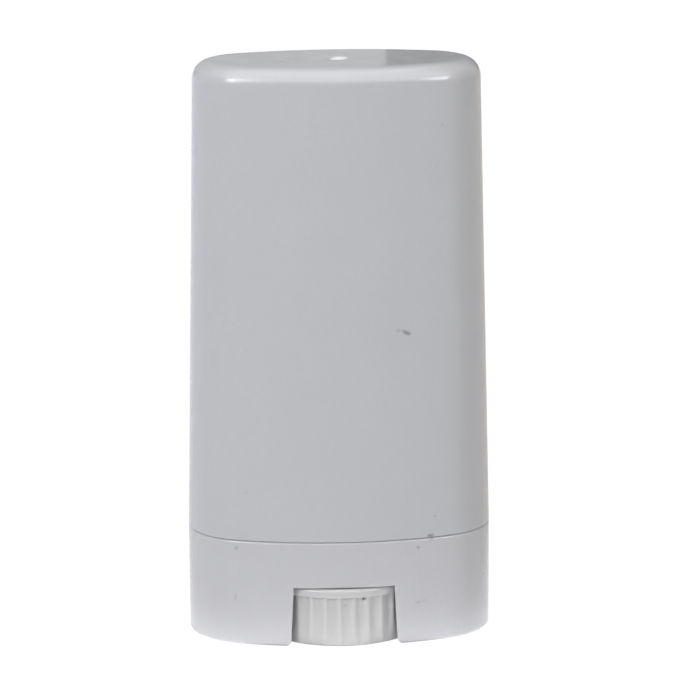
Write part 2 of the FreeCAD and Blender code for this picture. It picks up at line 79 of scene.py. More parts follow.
MM = 0.001
SAME = 2e-6  # lengths that differ by less than this are the same
LEDGE = 0.5 * MM  # how far a level face is drawn before the rest of it is filled in
LAP = 0.1 * MM  # how far a rib or a spoke reaches into what it stands against
HAIR, FINE, SMALL, SOFT, FULL = (size * MM for size in (0.02, 0.05, 0.1, 0.15, 0.2))  # roundings
SHARP = math.radians(35)  # edges that turn by more than this stay sharp


# --- Sizes, looks and settings


def length(name, default, description):
    """A length in metres, with its default given in millimetres."""
    return bpy.props.FloatProperty(
        name=name,
        description=description,
        default=default * MM,
        min=0.0,
        precision=5,
        subtype="DISTANCE",
        unit="LENGTH",
    )


def angle(name, default, description):
    """An angle whose default is given in degrees."""
    return bpy.props.FloatProperty(
        name=name, description=description, default=math.radians(default), subtype="ANGLE"
    )


def amount(name, default, description, low=0.0, high=1.0):
    """A plain number between two limits."""
    return bpy.props.FloatProperty(
        name=name, description=description, default=default, min=low, max=high
    )


def count(name, default, description):
    """A whole number of copies or steps."""
    return bpy.props.IntProperty(name=name, description=description, default=default, min=1)


def colour(name, default, description):
    """A colour in linear red, green and blue."""
    return bpy.props.FloatVectorProperty(
        name=name, description=description, default=default, min=0.0, max=1.0, subtype="COLOR"
    )


class OvalSizes(bpy.types.PropertyGroup):
    """The four-arc oval that every outline follows, and how finely it is stepped."""

    width: length("Width", (barrel_high.x - barrel_low.x) / MM, "Outside width of the base")
    depth: length("Depth", 19.0, "Outside depth of the base")
    bulge: length("Face bulge", 1.5, "How far the faces stand out beyond the ends' radius")
    draft: angle("Draft", 1.25, "Lean of the cap and the neck, per side")
    end_steps: count("End steps", 60, "Faces round each end")
    face_steps: count("Face steps", 24, "Faces across each broad side")


class CapSizes(bpy.types.PropertyGroup):
    """The lift-off cap."""

    foot: length("Foot", cap_low.z / MM - 0.07, "Height of the cap's mouth")
    top: length("Top", cap_high.z / MM, "Height of the cap's top")
    wall: length("Wall", 1.1, "Thickness of the wall")
    roof: length("Roof", 1.2, "Thickness of the top")
    edge_radius: length("Edge radius", 2.1, "Rounding round the top")
    corner_radius: length("Corner radius", 0.6, "Rounding inside, under the top")
    seam_radius: length("Seam radius", 0.1, "Rounding of the outer edge at the seam")
    lead_in: length("Lead-in", 0.3, "Chamfer inside the mouth")
    gate_radius: length("Gate radius", 1.3, "Radius of the gate dimple")
    gate_depth: length("Gate depth", 0.35, "Depth of the gate dimple")
    gate_lip: length("Gate lip", 0.25, "Rounding of the gate dimple's edge")


class BarrelSizes(bpy.types.PropertyGroup):
    """The base's skirt, the neck and the floor between them."""

    shoulder: length("Shoulder", 12.4, "Height of the shoulder that the cap stands on")
    shoulder_thickness: length("Shoulder thickness", 1.2, "Thickness of the shoulder")
    skirt_wall: length("Skirt wall", 1.2, "Thickness of the base's skirt")
    foot_radius: length("Foot radius", 0.3, "Rounding of the skirt's lower edge")
    seam_radius: length("Seam radius", 0.3, "Rounding of the skirt's upper edge")
    neck_inset: length("Neck inset", 1.3, "How far the neck stands in from the skirt")
    neck_corner: length("Neck corner", 0.06, "Rounding between the shoulder and the neck")
    rim_wall: length("Rim wall", 0.86, "Wall of the neck at its rim")
    rim_chamfer: length("Rim chamfer", 0.25, "Chamfer of the rim, inside and out")
    bead_height: length("Bead height", 2.6, "Height of the snap bead above the shoulder")
    bead_width: length("Bead width", 0.9, "Width of the snap bead")
    bead_inset: length("Bead inset", 1.18, "How far the bead stands in from the skirt")
    bead_chamfer: length("Bead chamfer", 0.1, "Chamfer of the bead's two edges")
    lower_wall: length("Lower wall", 1.0, "Wall of the barrel below the shoulder")
    floor_foot: length("Floor foot", 7.0, "Height of the floor's underside")
    floor_thickness: length("Floor thickness", 1.2, "Thickness of the floor")
    bore_radius: length("Bore radius", 2.88, "Radius of the hole that the screw goes through")
    rib_reach: length("Rib reach", 10.15, "How near the axis the ribs come")
    rib_foot: length("Rib foot", 2.4, "Height of the lower edge of the ribs")
    rib_thickness: length("Rib thickness", 0.8, "Thickness of the ribs")
    rib_spacing: length("Rib spacing", 6.0, "Distance between the ribs at each end")
    window_width: length("Window width", 11.6, "Width of the dial's window at its top")
    window_flare: length("Window flare", 0.3, "How far each side of the window leans out")
    window_radius: length("Window radius", 0.8, "Rounding of the window's lower corners")
    window_edge: length("Window edge", 0.12, "Rounding of the window's outer edge")


class DialSizes(bpy.types.PropertyGroup):
    """The fluted thumb dial."""

    radius: length("Radius", 9.8, "Radius of the collar")
    foot: length("Foot", dial_low.z / MM, "Height of the dial's lower edge")
    top: length("Top", 6.78, "Height of the dial's upper face")
    collar: length("Collar", 0.9, "Height of the plain collar above the flutes")
    collar_top: length("Collar top", 6.9, "Height of the collar's raised edge")
    rim: length("Foot rim", 0.2, "Height of the plain rim below the flutes")
    run_out: length("Run-out", 2.2, "Height in which the flutes run out into that rim")
    edge: length("Edge", 0.15, "Rounding of the lower edge")
    collar_edge: length("Collar edge", 0.45, "Rounding of the collar's upper edge")
    wall: length("Wall", 1.8, "Wall of the rim")
    web: length("Web", 1.2, "Thickness of the disc")
    flutes: count("Flutes", 36, "Number of grip flutes")
    phase: angle("Phase", 1.5, "How far round the front flute stands to the right")
    flute_depth: length("Flute depth", 0.52, "How far a flute reaches in from the collar")
    flute_radius: length("Flute radius", 0.85, "Radius of a flute")
    ridge_radius: length("Ridge radius", 0.12, "Rounding of a ridge's corners")
    ridge_drop: length("Ridge drop", 0.18, "How far the ridges stand in from the collar")
    hub_radius: length("Hub radius", 3.6, "Radius of the hub underneath")
    hub_bore: length("Hub bore", 1.9, "Radius of the blind hole in the hub")
    hub_foot: length("Hub foot", 1.0, "Height of the lower edge of the hub and the spokes")
    spokes: count("Spokes", 6, "Number of spokes underneath")
    spoke_thickness: length("Spoke thickness", 0.8, "Thickness of a spoke")
    thrust_radius: length("Thrust radius", 4.6, "Radius of the face that bears on the floor")
    thrust_top: length("Thrust top", 6.85, "Height of that face")


class ScrewSizes(bpy.types.PropertyGroup):
    """The screw that stands on the dial."""

    top: length("Top", dial_high.z / MM, "Height of the screw's tip")
    root: length("Root", 0.4, "How far the journal reaches down into the dial's disc")
    journal_radius: length("Journal radius", 2.8, "Radius of the journal in the floor's bore")
    barb_foot: length("Barb foot", 8.35, "Height of the underside of the snap barb")
    barb_land: length("Barb land", 0.35, "Height of the barb's edge")
    barb_taper: length("Barb taper", 0.9, "Height of the barb's lead-in")
    barb_radius: length("Barb radius", 3.15, "Radius of the barb")
    barb_edge: length("Barb edge", 0.08, "Rounding of the barb's lower edge")
    core_radius: length("Core radius", 1.8, "Radius of the core")
    tip_chamfer: length("Tip chamfer", 0.6, "Chamfer of the tip")
    thread_rise: length("Thread rise", 0.7, "Height of the thread above the core")
    thread_root: length("Thread root", 1.6, "Width of the thread at the core")
    thread_crest: length("Thread crest", 0.8, "Width of the thread at its crest")
    thread_edge: length("Thread edge", 0.12, "Rounding of the thread's crest")
    thread_start: length("Thread start", 10.8, "Height of the thread's first section")
    thread_runout: length("Thread run-out", 1.5, "Plain length below the tip")
    lead: length("Lead", 4.0, "Lift for each turn")
    steps: count("Steps", 96, "Faces round the screw")


class PlasticLook(bpy.types.PropertyGroup):
    """The white plastic, what lies on it, and the painted shade in a corner."""

    cap_colour: colour("Cap", (0.58, 0.585, 0.61), "Colour of the cap")
    barrel_colour: colour("Barrel", (0.598, 0.6, 0.628), "Colour of the barrel")
    dial_colour: colour("Dial", (0.62, 0.62, 0.625), "Colour of the dial and its screw")
    elevator_colour: colour("Elevator", (0.62, 0.62, 0.62), "Colour of the elevator")
    # colour of the dirt marks and also of the painted shade
    dirt_and_shade_colour: colour("Dirt", (0.17, 0.16, 0.16), "Colour of smudges and specks")
    dust: amount("Dust", 0.22, "Strength of the small specks all over")
    # strength of the painted shade in the round corner under the dial's collar
    painted_shade: amount("Corner_shade", 0.5, "Strength of the grime in a corner")
    roughness: amount("Roughness", 0.2, "Roughness of the moulded surface")
    depth: amount("Depth", 0.35, "How much of the light goes into the plastic and comes back")
    scatter: length("Scatter", 1.2, "How far that light spreads inside")
    grain: amount("Grain", 0.05, "Strength of the fine grain in the surface")
    mottle: amount("Mottle", 0.02, "How much the white varies")


class StudioSettings(bpy.types.PropertyGroup):
    """The camera, the lamps and the floor."""

    distance: length("Distance", 398.92, "From the camera to the point it looks at")
    elevation: angle("Elevation", 13.39, "How far the camera stands above level")
    azimuth: angle("Azimuth", -3.5, "How far the camera stands round to the right")
    roll: angle("Roll", -0.35, "Turn of the camera about its own axis")
    aim: length("Aim", 34.1, "Height of the point it looks at")
    lens: amount("Lens", 184.22, "Focal length in millimetres", 1.0, 1000.0)
    side: length("Side", 0.055, "How far to the right of the middle the camera aims")
    left: amount("Left lamp", 3.5, "Power, in front on the left", 0.0, 1000.0)
    right: amount("Right lamp", 1.45, "Power, in front on the right", 0.0, 1000.0)
    fill: amount("Fill lamp", 0.32, "Power, tall and at the right side", 0.0, 1000.0)
    head: amount("Head lamp", 4.5, "Power, straight above", 0.0, 1000.0)
    back: amount("Back lamp", 3.4, "Power, wide and behind", 0.0, 1000.0)
    pool: amount("Pool", 1.55, "Strength of the bright floor round the foot", 0.0, 10.0)
    pool_reach: length("Pool reach", 4.5, "How far that floor reaches beyond the foot")
    shade: amount("Shade", 0.3, "Strength of the dimmer floor under the foot")
    shade_reach: length("Shade reach", 0.5, "How far that dimmer floor reaches")
    sky: amount("Sky", 0.1, "Strength of the light from all round")
    floor: amount("Floor", 0.8, "How pale the floor is")


# --- Tools


class Oval:
    """The four-arc oval: two round ends joined by two shallow faces."""

    def __init__(self, sizes):
        self.end_radius = sizes.depth / 2 - sizes.bulge
        self.end_centre = sizes.width / 2 - self.end_radius
        squares = self.end_centre**2 + (sizes.depth / 2) ** 2 - self.end_radius**2
        self.face_centre = squares / (2 * sizes.bulge) - sizes.depth / 2
        self.turn = math.atan2(self.face_centre, self.end_centre)
        self.slope = math.tan(sizes.draft)
        self.end_steps = sizes.end_steps
        self.face_steps = sizes.face_steps
        self.steps = 2 * (sizes.end_steps + sizes.face_steps)

    def place(self, inset, height):
        """Where a line of a wall's section starts its way round the oval."""
        reach = self.end_radius - inset
        across = self.end_centre + reach * math.cos(self.turn)
        return Vector((across, -reach * math.sin(self.turn), height))

    def sweep(self):
        """Spins what is selected round the four arcs."""
        for side in (1, -1):
            spin(self.end_steps, 2 * self.turn, (side * self.end_centre, 0, 0))
            spin(self.face_steps, math.pi - 2 * self.turn, (0, -side * self.face_centre, 0))


def rounded(corners, steps):
    """Points along a section's line, from corners that may have a radius as a third number."""
    points = []
    spots = [Vector(corner[:2]) for corner in corners]
    for i, (spot, corner) in enumerate(zip(spots, corners)):
        radius = corner[2] if len(corner) > 2 else 0.0
        if not radius:
            points.append(spot)
            continue
        back = (spots[i - 1] - spot).normalized()
        ahead = (spots[i + 1] - spot).normalized()
        half = back.angle(ahead) / 2
        middle = spot + (back + ahead).normalized() * (radius / math.sin(half))
        first = (spot + back * (radius / math.tan(half)) - middle).normalized()
        last = (spot + ahead * (radius / math.tan(half)) - middle).normalized()
        for step in range(steps + 1):
            points.append(middle + first.slerp(last, step / steps) * radius)
    return points


def edit(on):
    """Opens the active object in edit mode, or closes it."""
    bpy.ops.object.mode_set(mode="EDIT" if on else "OBJECT")


def deselect():
    """Leaves no object selected."""
    bpy.ops.object.select_all(action="DESELECT")


def start_piece(name):
    """A new object of one vertex at the origin, open in edit mode."""
    deselect()
    bpy.ops.mesh.primitive_plane_add(size=MM)
    piece = bpy.context.object
    piece.name = piece.data.name = name
    edit(True)
    bpy.ops.mesh.merge(type="CENTER")
    return piece


def start_point():
    """One more vertex at the origin of the open piece, and nothing else selected."""
    bpy.ops.mesh.select_mode(type="VERT")
    bpy.ops.mesh.select_all(action="DESELECT")
    bpy.ops.mesh.primitive_plane_add(size=MM)
    bpy.ops.mesh.merge(type="CENTER")


def draw(points):
    """Draws a line on from the one selected vertex, which is at the origin, and selects it."""
    bpy.ops.transform.translate(value=points[0])
    for here, there in zip(points, points[1:]):
        bpy.ops.mesh.extrude_vertices_move(TRANSFORM_OT_translate={"value": there - here})
    bpy.ops.mesh.select_linked()


def add_prism(outline, rise):
    """One more solid in the open piece: an outline that is filled in and carried along."""
    start_point()
    draw(outline)
    bpy.ops.mesh.edge_face_add()
    bpy.ops.mesh.extrude_region_move(TRANSFORM_OT_translate={"value": rise})


def upright(points):
    """Distances from the axis and heights, as places to the right of the axis."""
    return [Vector((reach, 0, height)) for reach, height in points]


def pick(kind, test):
    """Selects the vertices or the edges that pass a test on themselves and their ends."""
    piece = bpy.context.object
    bpy.ops.mesh.select_mode(type=kind)
    bpy.ops.mesh.select_all(action="DESELECT")
    edit(False)
    mesh = piece.data
    chosen = 0
    for row in mesh.vertices if kind == "VERT" else mesh.edges:
        ends = [row.index] if kind == "VERT" else row.vertices
        row.select = test(row, [mesh.vertices[end].co for end in ends])
        chosen += row.select
    edit(True)
    if not chosen:
        raise RuntimeError(f"nothing was picked on {piece.name}")


def near(first, second, slack=SAME):
    """Whether two lengths are the same."""
    return abs(first - second) < slack


def pick_open(*heights):
    """Selects the open edges at these heights."""
    edit(False)
    faces = Counter(key for face in bpy.context.object.data.polygons for key in face.edge_keys)
    edit(True)

    def level(edge, ends):
        flat = any(near(ends[0].z, z) and near(ends[1].z, z) for z in heights)
        return flat and faces[edge.key] < 2

    pick("EDGE", level)


def merge_doubles():
    """Joins vertices that meet."""
    bpy.ops.mesh.select_mode(type="VERT")
    bpy.ops.mesh.select_all(action="SELECT")
    bpy.ops.mesh.remove_doubles(threshold=SAME / 2)


def face_outwards():
    """Turns all faces of the open piece outwards."""
    bpy.ops.mesh.select_all(action="SELECT")
    bpy.ops.mesh.normals_make_consistent(inside=False)


def finish_piece(piece, material, body, node):
    """Turns the faces outwards, smooths them, and ties the piece to the frame."""
    merge_doubles()
    face_outwards()
    edit(False)
    select_only(piece)
    bpy.ops.object.shade_smooth_by_angle(angle=SHARP)
    weigh = piece.modifiers.new("Even shading", "WEIGHTED_NORMAL")
    weigh.keep_sharp = True
    bpy.ops.object.modifier_apply(modifier=weigh.name)
    piece.data.materials.clear()
    piece.data.materials.append(material)
    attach(piece, body)
    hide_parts(node)


def select_only(*pieces):
    """Selects these objects and nothing else."""
    deselect()
    for piece in pieces:
        piece.select_set(True)
    bpy.context.view_layer.objects.active = pieces[0]


def carve(piece, tool):
    """Cuts a tool from a piece and removes the tool."""
    select_only(piece)
    step = piece.modifiers.new(tool.name, "BOOLEAN")
    step.operation = "DIFFERENCE"
    step.solver = "EXACT"
    step.object = tool
    bpy.ops.object.modifier_apply(modifier=step.name)
    bpy.data.objects.remove(tool)


def spin(steps, turn=2 * math.pi, centre=(0, 0, 0), copies=False):
    """Spins what is selected about an upright axis, to the left seen from above."""
    bpy.ops.mesh.spin(steps=steps, angle=turn, center=centre, axis=(0, 0, -1), dupli=copies)


# --- Materials


class Nodes:
    """The nodes of a material or a world, built up step by step."""

    def __init__(self, owner):
        owner.use_nodes = True
        self.tree = owner.node_tree

    def feed(self, node, inputs):
        """Sets or links a node's inputs."""
        for name, given in inputs.items():
            if isinstance(given, bpy.types.NodeSocket):
                self.tree.links.new(given, node.inputs[name])
            else:
                node.inputs[name].default_value = given
        return node

    def node(self, kind, inputs=None, **settings):
        """Adds a node, sets its properties, and sets or links its inputs."""
        made = self.tree.nodes.new(kind)
        for name, setting in settings.items():
            setattr(made, name, setting)
        return self.feed(made, inputs or {})

    def maths(self, operation, first, second):
        """One sum of two values."""
        return self.node("ShaderNodeMath", {0: first, 1: second}, operation=operation).outputs[0]

    def mixed(self, factor, first, second):
        """A colour between two."""
        ends = [
            given if isinstance(given, bpy.types.NodeSocket) else (*given, 1.0)
            for given in (first, second)
        ]
        inputs = {"Factor": factor, "A": ends[0], "B": ends[1]}
        return self.node("ShaderNodeMix", inputs, data_type="RGBA").outputs["Result"]

    def ramp(self, given, low, high, start=0.0, end=1.0, kind="SMOOTHSTEP"):
        """Carries a range of values over to another."""
        made = self.node(
            "ShaderNodeMapRange",
            {"Value": given, "From Min": low, "From Max": high, "To Min": start, "To Max": end},
            interpolation_type=kind,
        )
        return made.outputs["Result"]


class Finish(Nodes):
    """A material that is laid out in the coordinates of the piece."""

    def __init__(self, name):
        self.material = bpy.data.materials.new(name)
        super().__init__(self.material)
        self.where = self.node("ShaderNodeTexCoord").outputs["Object"]

    def noise(self, size, detail, roughness=0.55):
        """Noise whose lumps are about a size across, in metres."""
        spread = self.vectors("MULTIPLY", self.where, (1 / size,) * 3)
        made = self.node(
            "ShaderNodeTexNoise",
            {"Vector": spread.outputs[0], "Scale": 1.0, "Detail": detail, "Roughness": roughness},
        )
        return made.outputs["Fac"]

    def vectors(self, operation, first, second=(0, 0, 0)):
        """A node with a sum of vectors."""
        return self.node("ShaderNodeVectorMath", {0: first, 1: second}, operation=operation)

    def spot(self, centre, size, tilt=0.0, edge=0.5):
        """How far a point is inside a spot: 1 in it, 0 outside.

        The measures are in millimetres. Where there are only two, the spot is on the front.
        """
        if len(centre) == 2:
            front = 9.0
            centre, size = (centre[0], -front, centre[1]), (size[0], front, size[1])
        place = self.node(
            "ShaderNodeMapping",
            {
                "Vector": self.where,
                "Location": [axis * MM for axis in centre],
                "Rotation": (0.0, -math.radians(tilt), 0.0),
                "Scale": [axis * MM for axis in size],
            },
            vector_type="TEXTURE",
        )
        return self.ramp(self.vectors("LENGTH", place.outputs[0]).outputs["Value"], 1.0, edge)

    def ring(self, reach, height):
        """How near a point is to a round corner under an edge: 1 in it, 0 well out or down."""
        out = self.vectors("LENGTH", self.vectors("MULTIPLY", self.where, (1, 1, 0)).outputs[0])
        up = self.node("ShaderNodeSeparateXYZ", {"Vector": self.where}).outputs["Z"]
        inside = self.ramp(out.outputs["Value"], reach + 0.35 * MM, reach + 0.05 * MM)
        return self.maths("MULTIPLY", inside, self.ramp(up, height - 0.25 * MM, height))


def moulded_plastic(name, tint, look, marks=(), painted_highlight=None, corner=None):
    """Glossy white polypropylene with a faint mottle, fine grain, dust and marks, and the painted
    shade and painted highlight that are given.

    A mark is a centre, a size, a tilt and a strength, over 1 where it is solid; a mark is dirt,
    and painted shade where its comment says so. The painted highlight is a whitened spot of
    painted light. A corner is the radius and the height of a round corner under an edge that gets
    painted shade in the dirt colour.
    """
    finish = Finish(name)
    patches = finish.ramp(finish.noise(9 * MM, 4.0), 0.35, 0.65)
    white = finish.mixed(patches, [part * (1 - look.mottle) for part in tint], tint)
    lumps = finish.ramp(finish.noise(0.45 * MM, 5.0, 0.75), 0.3, 0.7)
    white = finish.mixed(lumps, [part * (1 - 1.6 * look.mottle) for part in tint], white)
    # a painted highlight: the spot is whitened in the colour
    if painted_highlight:
        white = finish.mixed(finish.spot(*painted_highlight), white, (0.96, 0.96, 0.96))
    dirt_and_shade = finish.ramp(finish.noise(0.3 * MM, 2.0, 0.4), 0.74, 0.8, 0.0, look.dust)
    broken = finish.ramp(finish.noise(0.35 * MM, 4.0, 0.7), 0.38, 0.6)
    layers = []
    for centre, size, tilt, strength in marks:
        mark = finish.maths("MULTIPLY", finish.spot(centre, size, tilt), broken)
        layers.append(finish.maths("MULTIPLY", mark, strength))
    # painted shade: the round corner under an edge is darkened in the dirt colour
    if corner:
        layers.append(finish.maths("MULTIPLY", finish.ring(*corner), look.painted_shade))
    # dust, dirt marks and painted shade are laid on together
    for layer in layers:
        dirt_and_shade = finish.maths("MAXIMUM", dirt_and_shade, layer)
    low, high = look.roughness - 0.04, look.roughness + 0.05
    smear = finish.ramp(finish.noise(5 * MM, 5.0, 0.6), 0.3, 0.7, low, high)
    grain = finish.noise(0.5 * MM, 3.0, 0.6)
    bump = {"Strength": look.grain, "Distance": 0.05 * MM, "Height": grain}
    inputs = {
        # dirt and painted shade are mixed into the white in one colour
        "Base Color": finish.mixed(dirt_and_shade, white, look.dirt_and_shade_colour),
        "Roughness": finish.maths("ADD", smear, finish.maths("MULTIPLY", dirt_and_shade, 0.3)),
        "IOR": 1.49,
        "Subsurface Weight": look.depth,
        "Subsurface Radius": (1.0, 0.95, 0.9),
        "Subsurface Scale": look.scatter,
        "Normal": finish.node("ShaderNodeBump", bump).outputs["Normal"],
    }
    finish.feed(finish.tree.nodes["Principled BSDF"], inputs)
    return finish.material


# --- Pieces


class STICK_OT_add_cap(bpy.types.Operator):
    """Model the lift-off cap: a drafted shell with a rounded top and a gate dimple"""

    bl_idname = "stick.add_cap"
    bl_label = "Cap"
    bl_options = {"REGISTER", "UNDO"}

    def execute(self, context):
        sizes, oval = context.scene.stick_cap, Oval(context.scene.stick_oval)
        height = sizes.top - sizes.foot
        lean = height * oval.slope
        ceiling = sizes.top - sizes.roof
        inner_lean = (height - sizes.roof) * oval.slope
        section = [
            (lean + sizes.edge_radius + 2 * LEDGE, sizes.top),
            (lean, sizes.top, sizes.edge_radius),
            (0.0, sizes.foot, sizes.seam_radius),
            (sizes.wall - sizes.lead_in, sizes.foot, FINE),
            (sizes.wall, sizes.foot + sizes.lead_in, FINE),
            (sizes.wall + inner_lean, ceiling, sizes.corner_radius),
            (sizes.wall + inner_lean + sizes.corner_radius + LEDGE, ceiling),
        ]
        cap = start_piece("cap_shell")
        draw([oval.place(*point) for point in rounded(section, steps=8)])
        oval.sweep()
        merge_doubles()
        pick_open(ceiling)
        bpy.ops.mesh.edge_face_add()
        self.add_gate(sizes, oval.steps)
        look = context.scene.stick_look
        marks = (
            # a scuff near the middle
            ((7.2, 36.6), (0.75, 0.32), -24.0, 0.75),
            ((6.3, 36.9), (0.35, 0.22), 10.0, 0.5),
            # specks
            ((-3.9, 59.0), (0.12, 0.12), 0.0, 0.6),
            ((11.4, 60.0), (0.14, 0.12), 0.0, 0.6),
            ((10.7, 55.4), (0.12, 0.12), 0.0, 0.5),
            ((-11.0, 18.2), (0.14, 0.12), 0.0, 0.5),
            ((10.5, 14.9), (0.18, 0.18), 0.0, 0.7),
            # a smudge across the seam
            ((10.0, 12.65), (0.5, 0.32), 3.0, 0.8),
            # painted shade at the left end of the gate dimple, where its rim shades it
            ((-1.15, -0.1, 66.6), (0.35, 0.7, 0.5), 0.0, 0.9),
        )
        # a painted highlight: the gate dimple's bright far wall is whitened
        painted_highlight = ((0.3, 0.0, 66.5), (1.2, 1.4, 0.7), 0.0, 0.7)
        plastic = moulded_plastic("cap plastic", look.cap_colour, look, marks, painted_highlight=painted_highlight)
        finish_piece(cap, plastic, "cap", "cap")
        return {"FINISHED"}

    def add_gate(self, sizes, steps):
        """The gate dimple, and the flat top between it and the rounded edge."""
        bowl = (sizes.gate_radius**2 + sizes.gate_depth**2) / (2 * sizes.gate_depth)
        lip = sizes.gate_radius + sizes.gate_lip
        low = sizes.top - sizes.gate_depth
        widest, rings = math.asin(sizes.gate_radius / bowl), 11
        turns = [widest * ring / rings for ring in range(rings)]
        line = [(bowl * math.sin(turn), low + bowl * (1 - math.cos(turn))) for turn in turns]
        start_point()
        draw(upright([*line, (lip, sizes.top)]))
        spin(steps)
        merge_doubles()
        pick_open(sizes.top)
        bpy.ops.mesh.bridge_edge_loops()


class STICK_OT_add_barrel(bpy.types.Operator):
    """Model the barrel: the base's skirt with its windows, the neck, the floor and the ribs"""

    bl_idname = "stick.add_barrel"
    bl_label = "Barrel"
    bl_options = {"REGISTER", "UNDO"}

    def execute(self, context):
        sizes, oval = context.scene.stick_barrel, Oval(context.scene.stick_oval)
        top = barrel_high.z
        lean = (top - sizes.shoulder) * oval.slope
        well = sizes.neck_inset + lean + sizes.rim_wall
        lower = well - sizes.lower_wall
        ceiling = sizes.shoulder - sizes.shoulder_thickness
        bead = sizes.shoulder + sizes.bead_height
        bead_inset = sizes.bead_inset + sizes.bead_height * oval.slope
        bead_top = bead + sizes.bead_width
        floor_top = sizes.floor_foot + sizes.floor_thickness
        neck, rim = sizes.neck_inset, top - sizes.rim_chamfer
        section = [
            (lower, sizes.floor_foot),
            (lower, ceiling, FULL),
            (sizes.skirt_wall, ceiling, FULL),
            (sizes.skirt_wall, 0.0, SMALL),
            (0.0, 0.0, sizes.foot_radius),
            (0.0, sizes.shoulder, sizes.seam_radius),
            (neck, sizes.shoulder, sizes.neck_corner),
            (neck + sizes.bead_height * oval.slope, bead, HAIR),
            (bead_inset, bead + sizes.bead_chamfer, FINE),
            (bead_inset, bead_top - sizes.bead_chamfer, FINE),
            (neck + (bead_top - sizes.shoulder) * oval.slope, bead_top, HAIR),
            (neck + lean - sizes.rim_chamfer * oval.slope, rim, SMALL),
            (neck + lean + sizes.rim_chamfer, top, FINE),
            (well - sizes.rim_chamfer, top, FINE),
            (well, rim, SMALL),
            (well, floor_top, SOFT),
            (well + LEDGE, floor_top),
        ]
        barrel = start_piece("barrel_shell")
        draw([oval.place(*point) for point in rounded(section, steps=5)])
        oval.sweep()
        merge_doubles()
        start_point()
        draw(upright((sizes.bore_radius, height) for height in (sizes.floor_foot, floor_top)))
        spin(oval.steps)
        merge_doubles()
        for height in (sizes.floor_foot, floor_top):
            pick_open(height)
            bpy.ops.mesh.bridge_edge_loops()
        face_outwards()
        edit(False)
        carve(barrel, self.windows(sizes))
        select_only(barrel)
        edit(True)
        self.soften_windows(sizes)
        self.add_ribs(sizes, oval)
        look = context.scene.stick_look
        marks = (
            # the smudge across the seam
            ((10.1, 12.15), (0.42, 0.28), 5.0, 0.8),
            # specks and faint scuffs
            ((-12.25, 11.55), (0.32, 0.24), 40.0, 0.7),
            ((8.5, 11.35), (0.3, 0.26), 20.0, 0.75),
            ((-12.4, 5.6), (0.12, 0.5), -10.0, 0.4),
            ((8.9, 4.9), (0.9, 0.25), 12.0, 0.3),
            ((16.6, 6.6), (0.4, 0.3), 0.0, 0.35),
        )
        plastic = moulded_plastic("barrel plastic", look.barrel_colour, look, marks)
        finish_piece(barrel, plastic, "base", "barrel")
        return {"FINISHED"}

    def add_ribs(self, sizes, oval):
        """Two ribs at each end, from inside the skirt's wall in to the dial."""
        inner, half = sizes.rib_reach, sizes.rib_thickness / 2
        middle, foot = sizes.rib_spacing / 2, sizes.rib_foot
        wall = oval.end_radius - sizes.skirt_wall / 2
        outer = oval.end_centre + math.sqrt(wall**2 - middle**2)
        rise = (0, 0, sizes.floor_foot + LAP - foot)
        for end in (-1, 1):
            for side in (-1, 1):
                first, last = side * (middle - half), side * (middle + half)
                outline = (inner, first), (outer, first), (outer, last), (inner, last)
                add_prism([Vector((end * x, y, foot)) for x, y in outline], rise)

    def windows(self, sizes):
        """The window's outline, carried through the front wall and the back one."""
        half, radius = sizes.window_width / 2, sizes.window_radius
        low, steps = half + sizes.window_flare, 8
        outside, through = 12 * MM, 4.4 * MM  # where the cutter starts and how far in it goes
        right = [(half, sizes.floor_foot)]
        for step in range(steps + 1):
            turn = math.pi / 2 * step / steps
            x, z = low + radius - radius * math.cos(turn), radius - radius * math.sin(turn)
            right.append((x, z))
        right.append((low + radius, -MM))
        outline = right + [(-x, z) for x, z in reversed(right)]
        windows = start_piece("windows")
        for side in (-1, 1):
            places = [Vector((x, side * outside, z)) for x, z in outline]
            add_prism(places, (0, -side * through, 0))
        merge_doubles()
        face_outwards()
        edit(False)
        return windows

    def soften_windows(self, sizes):
        """Rounds the windows' outer edges."""
        half, head, radius = sizes.window_width / 2, sizes.floor_foot, sizes.window_radius
        slack, over, skin = 2.5 * SAME, 0.01 * MM, 8.6 * MM  # skin is within the wall

        def side(z):
            return half + sizes.window_flare * (head - z) / (head - radius)

        def on_edge(edge, ends):
            out = all(abs(p.y) > skin for p in ends)
            level = all(near(p.z, head, slack) and abs(p.x) < half + over for p in ends)
            steep = all(near(abs(p.x), side(p.z), slack) and p.z > radius - over for p in ends)
            return out and (level or steep)

        pick("EDGE", on_edge)
        bpy.ops.mesh.bevel(offset=sizes.window_edge, segments=3, affect="EDGES")


